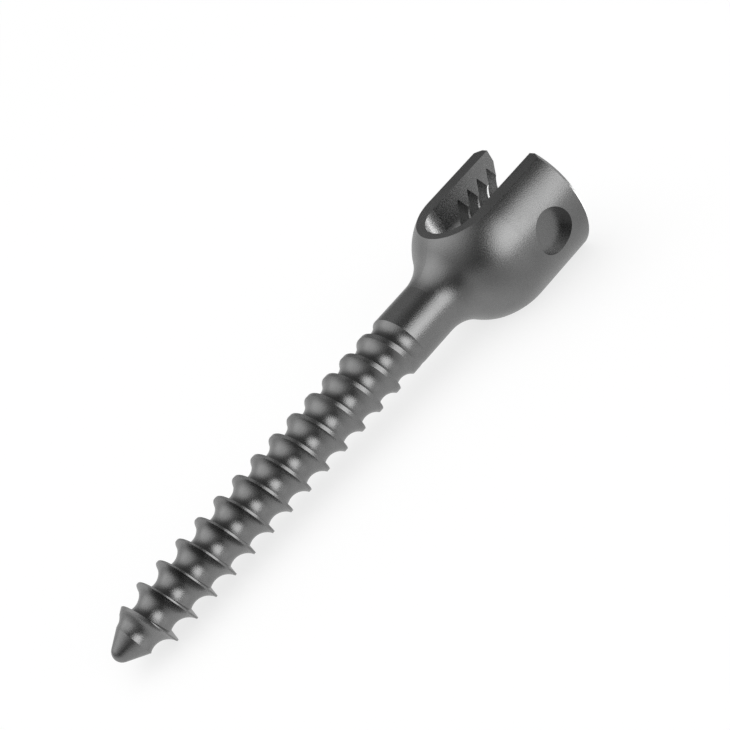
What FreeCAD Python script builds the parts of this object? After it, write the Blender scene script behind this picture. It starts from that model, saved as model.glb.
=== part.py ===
"""Fixed-head bone screw for a spinal rod, built as one solid.

The screw is drawn upright first: its axis is Z, its tip stands at the origin,
the rod would lie along X and the two arms stand at plus and minus Y.
The finished body is then laid down the way the real screw comes to rest, with
the seat of the rod at the origin. Lengths are millimetres, angles are degrees.
"""
import FreeCAD, Part
import os
import Sketcher

# Driving sizes. Each one becomes a named cell that the features read.
SIZES = {
    # shank and tip
    "majorDiameter": 5.5,
    "totalLength": 55.0,
    "tipNoseRadius": 0.9,
    "tipHalfAngle": 29.6,
    # bone thread
    "threadPitch": 2.35,
    "threadStartBelowTip": 0.95,
    "threadEndBelowTop": 20.7,
    "coreStartRadius": 1.58,
    "coreEndRadius": 2.2,
    "grooveArcRadius": 1.5,
    "grooveFootLength": 0.66,
    "grooveFlankAngle": 8.0,
    "grooveCutterHeight": 1.3,
    "runoutTurns": 0.8,
    "runoutRise": 0.62,
    # head
    "headDiameter": 12.9,
    "flatDistance": 9.8,
    "bulbBelowTop": 7.1,
    "neckFilletRadius": 3.9,
    "headChamfer": 0.45,
    # rod slot
    "slotWidth": 5.6,
    "slotCentreBelowTop": 7.8,
    # set screw bore and its thread
    "boreMinorRadius": 3.65,
    "boreMajorRadius": 4.6,
    "boreThreadPitch": 1.4,
    "boreThreadTurns": 5,
    "boreThreadRootFlat": 0.1,
    "boreThreadFlankAngle": 30.0,
    "boreThreadOverlap": 0.1,
    "boreThreadStartBelowTop": 6.5,
    "countersinkHalfAngle": 60.0,
    # grip dimples
    "dimpleBelowTop": 4.15,
    "dimpleRadius": 2.08,
    "dimpleFloorOut": 5.4,
    # how far cutting shapes reach past the metal
    "cutMargin": 1.0,
    # height of the last full thread crest, which touches the ground when the screw lies
    "restCrestHeight": 4.63,
}

# Measures that several features share, written with the named cells.
MAJOR_RADIUS = "(Sizes.majorDiameter / 2)"
HEAD_RADIUS = "(Sizes.headDiameter / 2)"
HALF_FLAT = "(Sizes.flatDistance / 2)"
HALF_SLOT = "(Sizes.slotWidth / 2)"
THREAD_END = "(Sizes.totalLength - Sizes.threadEndBelowTop)"
THREAD_TURNS = "((%s + Sizes.threadStartBelowTip) / Sizes.threadPitch)" % THREAD_END
BULB_HEIGHT = "(Sizes.totalLength - Sizes.bulbBelowTop)"
SLOT_HEIGHT = "(Sizes.totalLength - Sizes.slotCentreBelowTop)"
ABOVE_TOP = "(Sizes.totalLength + Sizes.cutMargin)"
PAST_HEAD = "(Sizes.headDiameter / 2 + Sizes.cutMargin)"

document = FreeCAD.newDocument("BoneScrew")
sheet = document.addObject("Spreadsheet::Sheet", "Sizes")
for row, (alias, value) in enumerate(SIZES.items(), start=1):
    sheet.set("A%d" % row, alias)
    sheet.set("B%d" % row, str(value))
    sheet.setAlias("B%d" % row, alias)
document.recompute()

body = document.addObject("PartDesign::Body", "pedicle_screw")
body.Label = "pedicle_screw"


def origin_feature(role):
    """Returns the body's own plane or axis with this role."""
    for feature in body.Origin.OriginFeatures:
        if feature.Role == role:
            return feature
    raise ValueError(role)


def new_sketch(name, plane_role):
    """Adds an empty sketch on one of the body's own planes."""
    sketch = body.newObject("Sketcher::SketchObject", name)
    sketch.AttachmentSupport = [(origin_feature(plane_role), "")]
    sketch.MapMode = "FlatFace"
    return sketch


def point_of(corner):
    """Gives the place that a corner's two expressions come to now."""
    across = float(body.evalExpression(corner[0]))
    up = float(body.evalExpression(corner[1]))
    return FreeCAD.Vector(across, up, 0)


def add_arc(sketch, start, finish, radius_text, side):
    """Adds an arc between two points; side 1 has its centre left of the way there."""
    radius = float(body.evalExpression(radius_text))
    chord = finish - start
    across = FreeCAD.Vector(-chord.y, chord.x, 0).normalize()
    reach = (radius ** 2 - (chord.Length / 2) ** 2) ** 0.5
    centre = start + chord * 0.5 + across * (side * reach)
    middle = centre - across * (side * radius)
    arc = Part.Arc(start, middle, finish) if side > 0 else Part.Arc(finish, middle, start)
    index = sketch.addGeometry(arc, False)
    held = sketch.addConstraint(Sketcher.Constraint("Radius", index, radius))
    sketch.setExpression("Constraints[%d]" % held, radius_text)
    return (index, 1, 2) if side > 0 else (index, 2, 1)


def hold_point(sketch, index, end, corner):
    """Binds one end of a line or arc, or a centre, to the corner's two expressions."""
    place = point_of(corner)
    rules = (("DistanceX", corner[0], place.x, -2), ("DistanceY", corner[1], place.y, -1))
    for kind, text, amount, axis in rules:
        if text == "0":
            sketch.addConstraint(Sketcher.Constraint("PointOnObject", index, end, axis))
            continue
        held = sketch.addConstraint(Sketcher.Constraint(kind, -1, 1, index, end, amount))
        sketch.setExpression("Constraints[%d]" % held, text)


def draw_outline(sketch, corners):
    """Draws a closed outline through the corners.

    A corner is (across, up) where a line leads on from it, and
    (across, up, radius, side) where an arc does.
    """
    sides = []
    for number, corner in enumerate(corners):
        start = point_of(corner)
        finish = point_of(corners[(number + 1) % len(corners)])
        if len(corner) == 2:
            sides.append((sketch.addGeometry(Part.LineSegment(start, finish), False), 1, 2))
        else:
            sides.append(add_arc(sketch, start, finish, corner[2], corner[3]))
    for number, (index, first, last) in enumerate(sides):
        following, next_first, _ = sides[(number + 1) % len(sides)]
        sketch.addConstraint(Sketcher.Constraint("Coincident", index, last, following, next_first))
        hold_point(sketch, index, first, corners[number])


def draw_box(sketch, left, right, bottom, top):
    """Draws an upright rectangle between four expressions."""
    draw_outline(sketch, [(left, bottom), (right, bottom), (right, top), (left, top)])


def cut_feature(kind, name, sketch):
    """Adds a feature that cuts this sketch out of the body."""
    sketch.recompute()
    feature = body.newObject(kind, name)
    feature.Profile = sketch
    feature.Refine = False
    sketch.Visibility = False
    return feature


def pocket_across(name, sketch):
    """Cuts the sketch straight through the head to both sides of its plane."""
    pocket = cut_feature("PartDesign::Pocket", name, sketch)
    pocket.SideType = "Symmetric"
    pocket.Type = "Length"
    pocket.setExpression("Length", "2 * %s * 1mm" % PAST_HEAD)


def turned_blank():
    """Turns the shank, the pointed tip, the neck, the round bulb and the head in one outline."""
    touch_share = "((%s + Sizes.neckFilletRadius) / (%s + Sizes.neckFilletRadius))" % (
        MAJOR_RADIUS, HEAD_RADIUS)
    drop = "sqrt((%s + Sizes.neckFilletRadius)^2 - (%s + Sizes.neckFilletRadius)^2)" % (
        HEAD_RADIUS, MAJOR_RADIUS)
    nose_edge = "(Sizes.tipNoseRadius * cos(Sizes.tipHalfAngle))"
    nose_height = "(Sizes.tipNoseRadius * (1 - sin(Sizes.tipHalfAngle)))"
    corners = [
        ("0", "0", "Sizes.tipNoseRadius", 1),
        (nose_edge, nose_height),
        (MAJOR_RADIUS, "%s + (%s - %s) / tan(Sizes.tipHalfAngle)" % (
            nose_height, MAJOR_RADIUS, nose_edge)),
        (MAJOR_RADIUS, "%s - %s" % (BULB_HEIGHT, drop), "Sizes.neckFilletRadius", -1),
        ("%s * %s" % (HEAD_RADIUS, touch_share),
         "%s - %s * %s / (%s + Sizes.neckFilletRadius)" % (
             BULB_HEIGHT, HEAD_RADIUS, drop, HEAD_RADIUS), HEAD_RADIUS, 1),
        (HEAD_RADIUS, BULB_HEIGHT),
        (HEAD_RADIUS, "Sizes.totalLength - Sizes.headChamfer"),
        ("%s - Sizes.headChamfer" % HEAD_RADIUS, "Sizes.totalLength"),
        ("0", "Sizes.totalLength"),
    ]
    sketch = new_sketch("TurnedOutline", "XZ_Plane")
    draw_outline(sketch, corners)
    sketch.recompute()
    blank = body.newObject("PartDesign::Revolution", "TurnedBlank")
    blank.Profile = sketch
    blank.ReferenceAxis = (sketch, ["V_Axis"])
    blank.Angle = 360
    sketch.Visibility = False


def groove_outline(name, root, height, turns_up):
    """Draws the section of the bone thread's groove with its root at this radius and height.

    The section starts above minus Y and is turned on by the turns already made.
    """
    outer = "-(%s + Sizes.grooveCutterHeight)" % root
    foot_rise = "(Sizes.grooveArcRadius - sqrt(Sizes.grooveArcRadius^2 - Sizes.grooveFootLength^2))"
    arc_rise = "sqrt(Sizes.grooveArcRadius^2 - (Sizes.grooveArcRadius - Sizes.grooveCutterHeight)^2)"
    flank_run = "(Sizes.grooveCutterHeight - %s) * tan(Sizes.grooveFlankAngle)" % foot_rise
    sketch = new_sketch(name, "YZ_Plane")
    sketch.setExpression("AttachmentOffset", "placement(vector(0; 0; 0); rotation(vector(0; 1; 0); "
                         "mod(%s; 1) * 360deg))" % turns_up)
    draw_outline(sketch, [
        ("-(%s + %s)" % (root, foot_rise), "%s - Sizes.grooveFootLength" % height,
         "Sizes.grooveArcRadius", 1),
        (outer, "%s + %s" % (height, arc_rise)),
        (outer, "%s - Sizes.grooveFootLength - %s" % (height, flank_run)),
    ])
    return sketch


def helix_cut(name, sketch, pitch, turns, growth):
    """Sweeps a groove outline up around the axis while it moves outward by the growth a turn."""
    groove = cut_feature("PartDesign::SubtractiveHelix", name, sketch)
    groove.ReferenceAxis = (origin_feature("Z_Axis"), [""])
    groove.Mode = "height-turns-growth"
    groove.setExpression("Height", "%s * %s * 1mm" % (pitch, turns))
    groove.setExpression("Turns", turns)
    groove.setExpression("Growth", "%s * 1mm" % growth)


def bone_thread():
    """Cuts the groove up the coned core, from the air below the tip."""
    sketch = groove_outline("GrooveOutline", "Sizes.coreStartRadius",
                            "(-Sizes.threadStartBelowTip)", "0")
    helix_cut("BoneThread", sketch, "Sizes.threadPitch", THREAD_TURNS,
              "(Sizes.coreEndRadius - Sizes.coreStartRadius) / %s" % THREAD_TURNS)


def bone_thread_runout():
    """Carries the groove on below the neck while it climbs out of the metal."""
    sketch = groove_outline("RunoutOutline", "Sizes.coreEndRadius", THREAD_END, THREAD_TURNS)
    helix_cut("BoneThreadRunout", sketch, "Sizes.threadPitch", "Sizes.runoutTurns",
              "Sizes.runoutRise / Sizes.runoutTurns")


def head_flats():
    """Mills the two flats through which the rod slot opens."""
    below_bulb = "(%s - %s)" % (BULB_HEIGHT, HEAD_RADIUS)
    sketch = new_sketch("FlatsOutline", "XZ_Plane")
    draw_box(sketch, HALF_FLAT, PAST_HEAD, below_bulb, ABOVE_TOP)
    draw_box(sketch, "-%s" % PAST_HEAD, "-%s" % HALF_FLAT, below_bulb, ABOVE_TOP)
    pocket_across("HeadFlats", sketch)


def rod_seat():
    """Drills the round seat of the rod across the head."""
    sketch = new_sketch("SeatOutline", "YZ_Plane")
    radius = float(body.evalExpression(HALF_SLOT))
    centre = ("0", SLOT_HEIGHT)
    index = sketch.addGeometry(Part.Circle(point_of(centre), FreeCAD.Vector(0, 0, 1), radius), False)
    hold_point(sketch, index, 3, centre)
    held = sketch.addConstraint(Sketcher.Constraint("Radius", index, radius))
    sketch.setExpression("Constraints[%d]" % held, HALF_SLOT)
    pocket_across("RodSeat", sketch)


def rod_slot():
    """Opens the seat upward, which leaves the two arms."""
    sketch = new_sketch("SlotOutline", "YZ_Plane")
    draw_box(sketch, "-%s" % HALF_SLOT, HALF_SLOT, SLOT_HEIGHT, ABOVE_TOP)
    pocket_across("RodSlot", sketch)


def set_screw_bore():
    """Bores the arms for the set screw, with a countersink at the mouth."""
    mouth_drop = "(Sizes.boreMajorRadius - Sizes.boreMinorRadius) / tan(Sizes.countersinkHalfAngle)"
    sketch = new_sketch("BoreOutline", "XZ_Plane")
    draw_outline(sketch, [
        ("0", SLOT_HEIGHT),
        ("Sizes.boreMinorRadius", SLOT_HEIGHT),
        ("Sizes.boreMinorRadius", "Sizes.totalLength - %s" % mouth_drop),
        ("Sizes.boreMajorRadius", "Sizes.totalLength"),
        ("Sizes.boreMajorRadius", ABOVE_TOP),
        ("0", ABOVE_TOP),
    ])
    bore = cut_feature("PartDesign::Groove", "SetScrewBore", sketch)
    bore.ReferenceAxis = (sketch, ["V_Axis"])
    bore.Angle = 360


def set_screw_thread():
    """Cuts the set screw's thread up the bore, from the open slot to past the top."""
    start = "(Sizes.totalLength - Sizes.boreThreadStartBelowTop)"
    inner = "(Sizes.boreMinorRadius - Sizes.boreThreadOverlap)"
    half_root = "(Sizes.boreThreadRootFlat / 2)"
    half_base = "(%s + (Sizes.boreMajorRadius - %s) * tan(Sizes.boreThreadFlankAngle))" % (
        half_root, inner)
    sketch = new_sketch("BoreThreadOutline", "XZ_Plane")
    draw_outline(sketch, [
        (inner, "%s - %s" % (start, half_base)),
        ("Sizes.boreMajorRadius", "%s - %s" % (start, half_root)),
        ("Sizes.boreMajorRadius", "%s + %s" % (start, half_root)),
        (inner, "%s + %s" % (start, half_base)),
    ])
    helix_cut("SetScrewThread", sketch, "Sizes.boreThreadPitch", "Sizes.boreThreadTurns", "0")


def grip_dimple():
    """Mills a flat-bottomed round dimple into one arm, where the holder grips the head."""
    sketch = new_sketch("DimpleOutline", "YZ_Plane")
    sketch.setExpression("AttachmentOffset.Base.y",
                         "(Sizes.totalLength - Sizes.dimpleBelowTop) * 1mm")
    draw_box(sketch, "Sizes.dimpleFloorOut", PAST_HEAD, "0", "Sizes.dimpleRadius")
    dimple = cut_feature("PartDesign::Groove", "GripDimple", sketch)
    dimple.ReferenceAxis = (sketch, ["H_Axis"])
    dimple.Angle = 360


def second_dimple():
    """Repeats the dimple on the other arm."""
    mirrored = body.newObject("PartDesign::Mirrored", "SecondDimple")
    mirrored.Originals = [document.getObject("GripDimple")]
    mirrored.MirrorPlane = (origin_feature("XZ_Plane"), [""])
    mirrored.Refine = False
    body.Tip = mirrored


def lay_down():
    """Turns the screw onto one flat and its last thread crest, with the rod seat at the origin."""
    rim_height = "(%s - sqrt(%s^2 - %s^2))" % (BULB_HEIGHT, HEAD_RADIUS, HALF_FLAT)
    tilt = "atan((%s - %s) / (%s - Sizes.restCrestHeight))" % (HALF_FLAT, MAJOR_RADIUS, rim_height)
    turn = "rotation(vector(cos(45deg + %s / 2); 0; sin(45deg + %s / 2)); 180deg)" % (tilt, tilt)
    base = "vector(-%s * cos(%s); 0; -%s * sin(%s)) * 1mm" % (SLOT_HEIGHT, tilt, SLOT_HEIGHT, tilt)
    body.setExpression("Placement", "placement(%s; %s)" % (base, turn))


turned_blank()
document.recompute()
volume = body.Shape.Volume
for make_cut in (bone_thread, bone_thread_runout, head_flats, rod_seat, rod_slot, set_screw_bore,
                 set_screw_thread, grip_dimple, second_dimple):
    make_cut()
    document.recompute()
    if not body.Shape.Volume < volume:
        raise RuntimeError("%s removed no metal" % make_cut.__name__)
    print(make_cut.__name__, "removed", round(volume - body.Shape.Volume, 2), "mm3")
    volume = body.Shape.Volume
lay_down()
document.recompute()

for item in document.Objects:
    if "Invalid" in item.State or "Error" in item.State:
        raise RuntimeError("%s did not build" % item.Name)
shape = body.Shape
if shape.isNull() or not shape.isValid() or len(shape.Solids) != 1:
    raise RuntimeError("the screw is not one valid solid")
print("volume", round(shape.Volume, 1), "mm3, box", shape.BoundBox)

os.makedirs("parts", exist_ok=True)
shape.exportStep("parts/%s.step" % body.Label)
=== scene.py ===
import math
import bpy
from mathutils import Matrix, Vector


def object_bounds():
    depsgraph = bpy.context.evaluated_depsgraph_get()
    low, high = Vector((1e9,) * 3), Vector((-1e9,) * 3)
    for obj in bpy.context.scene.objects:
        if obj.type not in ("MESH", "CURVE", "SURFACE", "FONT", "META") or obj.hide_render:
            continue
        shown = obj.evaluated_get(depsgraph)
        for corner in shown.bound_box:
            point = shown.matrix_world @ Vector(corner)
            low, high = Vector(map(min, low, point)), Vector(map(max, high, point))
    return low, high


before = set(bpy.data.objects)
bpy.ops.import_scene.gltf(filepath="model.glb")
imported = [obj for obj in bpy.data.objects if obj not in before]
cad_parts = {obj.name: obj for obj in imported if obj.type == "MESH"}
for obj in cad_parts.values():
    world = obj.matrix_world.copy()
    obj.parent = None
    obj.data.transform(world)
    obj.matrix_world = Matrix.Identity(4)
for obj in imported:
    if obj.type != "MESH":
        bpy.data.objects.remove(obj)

mm = 0.001
white = (1.0, 1.0, 1.0, 1.0)
lampPower = 4.0  # watts that make a square metre of lamp shine as bright as the white room
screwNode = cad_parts["pedicle_screw"]
sizeAtLoad = [list(corner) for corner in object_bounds()]


def grey(level):
    return (level, level, level, 1.0)


def clearTree(owner):
    # empties the node tree of a material or world
    owner.use_nodes = True
    owner.node_tree.nodes.clear()
    return owner.node_tree


def addNode(tree, kind, **settings):
    node = tree.nodes.new(kind)
    for name, value in settings.items():
        setattr(node, name, value)
    return node


def addFade(tree, value, start, end, levelAtStart, levelAtEnd):
    # leads smoothly from one level to another while the value goes from start to end
    fade = addNode(tree, "ShaderNodeMapRange", interpolation_type="SMOOTHSTEP")
    fade.inputs["From Min"].default_value = start
    fade.inputs["From Max"].default_value = end
    fade.inputs["To Min"].default_value = levelAtStart
    fade.inputs["To Max"].default_value = levelAtEnd
    tree.links.new(value, fade.inputs["Value"])
    return fade.outputs["Result"]


def mixShaders(tree, share, first, second):
    mix = addNode(tree, "ShaderNodeMixShader")
    tree.links.new(share, mix.inputs["Fac"])
    tree.links.new(first, mix.inputs[1])
    tree.links.new(second, mix.inputs[2])
    return mix.outputs["Shader"]


# the screw's fine-blasted titanium, with noise sizes in waves a metre
titanium = {
    "grey": 0.3,
    "cloudSize": 420.0, "cloudDetail": 4.0, "cloudShare": 0.05,  # slow drift of the tone
    "grainSize": 12000.0, "grainDetail": 3.0, "grainShare": 0.12,  # grain under a tenth of a millimetre
    "darkBelow": 0.3, "lightAbove": 0.7,  # noise levels between which the tone changes
    "rough": 0.271, "roughShare": 0.05,
    "bump": 0.46, "bumpDepth": 0.03 * mm,
}


def addNoise(tree, place, size, detail):
    noise = addNode(tree, "ShaderNodeTexNoise")
    noise.inputs["Scale"].default_value = size
    noise.inputs["Detail"].default_value = detail
    tree.links.new(place.outputs["Object"], noise.inputs["Vector"])
    return noise.outputs["Fac"]


def addTone(tree, noise, level, share):
    # turns noise into a grey that strays from the level by the share
    ramp = addNode(tree, "ShaderNodeValToRGB")
    dark, light = ramp.color_ramp.elements
    dark.position = titanium["darkBelow"]
    dark.color = grey(level * (1.0 - share))
    light.position = titanium["lightAbove"]
    light.color = grey(level * (1.0 + share))
    tree.links.new(noise, ramp.inputs["Fac"])
    return ramp.outputs["Color"]


def addColour(tree, cloud, grain, shader):
    # the slow cloud sets the tone and the grain speckles it
    tone = addNode(tree, "ShaderNodeMix", data_type="RGBA", blend_type="MULTIPLY")
    tone.inputs["Factor"].default_value = 1.0
    tree.links.new(addTone(tree, cloud, titanium["grey"], titanium["cloudShare"]), tone.inputs["A"])
    tree.links.new(addTone(tree, grain, 1.0, titanium["grainShare"]), tone.inputs["B"])
    tree.links.new(tone.outputs["Result"], shader.inputs["Base Color"])


def addRoughness(tree, grain, shader):
    rough = addNode(tree, "ShaderNodeMapRange")
    rough.inputs["To Min"].default_value = titanium["rough"] - titanium["roughShare"]
    rough.inputs["To Max"].default_value = titanium["rough"] + titanium["roughShare"]
    tree.links.new(grain, rough.inputs["Value"])
    tree.links.new(rough.outputs["Result"], shader.inputs["Roughness"])


def addBump(tree, grain, shader):
    bump = addNode(tree, "ShaderNodeBump")
    bump.inputs["Strength"].default_value = titanium["bump"]
    bump.inputs["Distance"].default_value = titanium["bumpDepth"]
    tree.links.new(grain, bump.inputs["Height"])
    tree.links.new(bump.outputs["Normal"], shader.inputs["Normal"])


def makeTitanium():
    material = bpy.data.materials.new("blastedTitanium")
    tree = clearTree(material)
    output = addNode(tree, "ShaderNodeOutputMaterial")
    shader = addNode(tree, "ShaderNodeBsdfPrincipled")
    shader.inputs["Metallic"].default_value = 1.0
    tree.links.new(shader.outputs["BSDF"], output.inputs["Surface"])
    place = addNode(tree, "ShaderNodeTexCoord")
    grain = addNoise(tree, place, titanium["grainSize"], titanium["grainDetail"])
    cloud = addNoise(tree, place, titanium["cloudSize"], titanium["cloudDetail"])
    addColour(tree, cloud, grain, shader)
    addRoughness(tree, grain, shader)
    addBump(tree, grain, shader)
    return material


def paintScrew():
    screwNode.data.materials.clear()
    screwNode.data.materials.append(makeTitanium())
    print("screw painted")


# the camera as fitted to the photo's outline
view = {
    "place": (-53.7, -89.8, 57.1),  # millimetres
    "right": (0.677, -0.543, -0.496),
    "back": (-0.290, -0.817, 0.498),  # from the screw towards the camera
    "lens": 65.25, "sensor": 36.0,  # millimetres
    "shiftAcross": 0.0890, "shiftUp": 0.0479,
    "nearest": 0.005, "farthest": 10.0,  # metres
}


def placeCamera():
    camera = bpy.data.cameras.new("camera")
    holder = bpy.data.objects.new("camera", camera)
    bpy.context.scene.collection.objects.link(holder)
    right = Vector(view["right"]).normalized()
    up = Vector(view["back"]).cross(right).normalized()
    back = right.cross(up).normalized()
    turn = Matrix((right, up, back)).transposed().to_4x4()
    holder.matrix_world = Matrix.Translation(Vector(view["place"]) * mm) @ turn
    camera.lens = view["lens"]
    camera.sensor_width = view["sensor"]
    camera.shift_x = view["shiftAcross"]
    camera.shift_y = view["shiftUp"]
    camera.clip_start = view["nearest"]
    camera.clip_end = view["farthest"]
    bpy.context.scene.camera = holder
    print("camera placed")


# the floor, with lengths in millimetres
floorLook = {
    "size": 2000.0,
    "pale": 0.95,
    # it shows the shadow near the screw and turns into the white room farther out
    "glow": 0.75, "shadowWithin": 50.0, "whiteBeyond": 260.0,
    # as the metal mirrors it, it glows with a painted reflection: dimmer in front of the screw as
    # painted shade, brighter under and behind it as painted light
    "paintedShadeGlow": 0.33, "paintedLightGlow": 0.57, "paintedShadeBefore": -14.0, "paintedLightBehind": -2.0,
    "gloss": 0.14, "rough": 0.3,
}


def addSeenFloor(tree, place):
    # what the camera sees: a pale floor that glows, so that its shadow stays faint
    pale = addNode(tree, "ShaderNodeBsdfDiffuse")
    pale.inputs["Color"].default_value = grey(floorLook["pale"])
    glow = addNode(tree, "ShaderNodeEmission")
    glow.inputs["Strength"].default_value = 1.0
    away = addNode(tree, "ShaderNodeVectorMath", operation="LENGTH")
    tree.links.new(place.outputs["Object"], away.inputs[0])
    share = addFade(tree, away.outputs["Value"], floorLook["shadowWithin"] * mm,
                    floorLook["whiteBeyond"] * mm, floorLook["glow"], 1.0)
    return mixShaders(tree, share, pale.outputs["BSDF"], glow.outputs["Emission"])


def addPaintedReflectionFloor(tree, place):
    # what the metal mirrors: a dim painted glow, though the floor is no lamp, with painted shade in
    # front of the screw and a soft gloss over it
    split = addNode(tree, "ShaderNodeSeparateXYZ")
    tree.links.new(place.outputs["Object"], split.inputs["Vector"])
    level = addFade(tree, split.outputs["Y"], floorLook["paintedShadeBefore"] * mm,
                    floorLook["paintedLightBehind"] * mm, floorLook["paintedShadeGlow"], floorLook["paintedLightGlow"])
    # painted reflection: the floor glows only in the metal, darker in front as painted shade
    paintedGlow = addNode(tree, "ShaderNodeEmission")
    tree.links.new(level, paintedGlow.inputs["Strength"])
    polish = addNode(tree, "ShaderNodeBsdfAnisotropic")
    polish.inputs["Color"].default_value = grey(floorLook["gloss"])
    polish.inputs["Roughness"].default_value = floorLook["rough"]
    both = addNode(tree, "ShaderNodeAddShader")
    tree.links.new(paintedGlow.outputs["Emission"], both.inputs[0])
    tree.links.new(polish.outputs["BSDF"], both.inputs[1])
    return both.outputs["Shader"]


def makeFloorPaint():
    paint = bpy.data.materials.new("paleFloor")
    tree = clearTree(paint)
    output = addNode(tree, "ShaderNodeOutputMaterial")
    place = addNode(tree, "ShaderNodeTexCoord")
    ray = addNode(tree, "ShaderNodeLightPath")
    seen = addSeenFloor(tree, place)
    # the floor as the metal mirrors it is a painted reflection glow with painted shade in front
    paintedReflection = addPaintedReflectionFloor(tree, place)
    floorShader = mixShaders(tree, ray.outputs["Is Glossy Ray"], seen, paintedReflection)
    tree.links.new(floorShader, output.inputs["Surface"])
    return paint


def makeFloor():
    lowest = min(corner[2] for corner in sizeAtLoad)
    bpy.ops.mesh.primitive_plane_add(size=floorLook["size"] * mm, location=(0.0, 0.0, lowest))
    floor = bpy.context.object
    floor.name = "floor"
    floor.data.materials.append(makeFloorPaint())
    print("floor made")


# lights the floor from straight above and isn't mirrored by the metal, in metres
floorLamp = {"place": (-0.02, 0.0, 0.7), "width": 1.4, "depth": 1.4, "level": 0.88}

# a small card just above the floor, off the open end of the head, that lights up the bottom
# of the rod seat from below, in metres
endCard = {"place": (0.015, 0.0035, -0.0049), "width": 0.012, "depth": 0.011, "level": 2.4}


def addLamp(name, lampLook):
    lamp = bpy.data.lights.new(name, "AREA")
    lamp.shape = "RECTANGLE"
    lamp.size = lampLook["width"]
    lamp.size_y = lampLook["depth"]
    lamp.energy = lampPower * lamp.size * lamp.size_y * lampLook["level"]
    holder = bpy.data.objects.new(name, lamp)
    bpy.context.scene.collection.objects.link(holder)
    holder.location = lampLook["place"]
    return holder


def addFloorLamp():
    holder = addLamp("floorLamp", floorLamp)
    holder.visible_glossy = False


def addEndCard():
    holder = addLamp("endCard", endCard)
    holder.rotation_euler = (0.0, math.pi, 0.0)  # faces up
    holder.visible_camera = False


# what the screw mirrors: a dark room with soft round patches of light, each with its azimuth,
# its elevation, the angles within which it is full and beyond which it is gone, and its strength
room = {
    "base": 0.066,
    "patches": {
        "front": (13.0, 13.0, 13.0, 42.0, 1.63),
        "backLeft": (-130.0, 58.0, 5.0, 45.0, 0.45),
        "leftWash": (-125.0, 50.0, 0.0, 68.0, 0.33),
        "back": (-160.0, 20.0, 0.0, 50.0, 0.29),
        "backRight": (150.0, 30.0, 5.0, 50.0, 0.05),
        "rear": (178.0, 0.0, 5.0, 28.0, 0.28),
    },
}


def towards(azimuth, elevation):
    # azimuth 0 is the front, -Y, and 90 is +X
    turn, rise = math.radians(azimuth), math.radians(elevation)
    return Vector((math.sin(turn) * math.cos(rise), -math.cos(turn) * math.cos(rise), math.sin(rise)))


def addPatch(tree, place, below, azimuth, elevation, inner, outer, strength):
    # adds one patch to the strength below it, or to the room's base
    nearness = addNode(tree, "ShaderNodeVectorMath", operation="DOT_PRODUCT")
    nearness.inputs[1].default_value = towards(azimuth, elevation)
    tree.links.new(place.outputs["Generated"], nearness.inputs[0])
    patch = addFade(tree, nearness.outputs["Value"], math.cos(math.radians(outer)),
                    math.cos(math.radians(inner)), 0.0, strength)
    total = addNode(tree, "ShaderNodeMath", operation="ADD")
    tree.links.new(patch, total.inputs[0])
    if below is None:
        total.inputs[1].default_value = room["base"]
    else:
        tree.links.new(below, total.inputs[1])
    return total.outputs["Value"]


def addBackground(tree):
    background = addNode(tree, "ShaderNodeBackground")
    background.inputs["Color"].default_value = white
    background.inputs["Strength"].default_value = 1.0
    return background


def lightScene():
    world = bpy.data.worlds.new("studio")
    bpy.context.scene.world = world
    tree = clearTree(world)
    output = addNode(tree, "ShaderNodeOutputWorld")
    place = addNode(tree, "ShaderNodeTexCoord")
    strength = None
    for patch in room["patches"].values():
        strength = addPatch(tree, place, strength, *patch)
    studio = addBackground(tree)
    tree.links.new(strength, studio.inputs["Strength"])
    backdrop = addBackground(tree)
    ray = addNode(tree, "ShaderNodeLightPath")
    sky = mixShaders(tree, ray.outputs["Is Camera Ray"], studio.outputs["Background"],
                     backdrop.outputs["Background"])
    tree.links.new(sky, output.inputs["Surface"])
    addFloorLamp()
    addEndCard()
    print("lights placed")


paintScrew()
placeCamera()
makeFloor()
lightScene()
bpy.context.scene.view_settings.view_transform = "Standard"
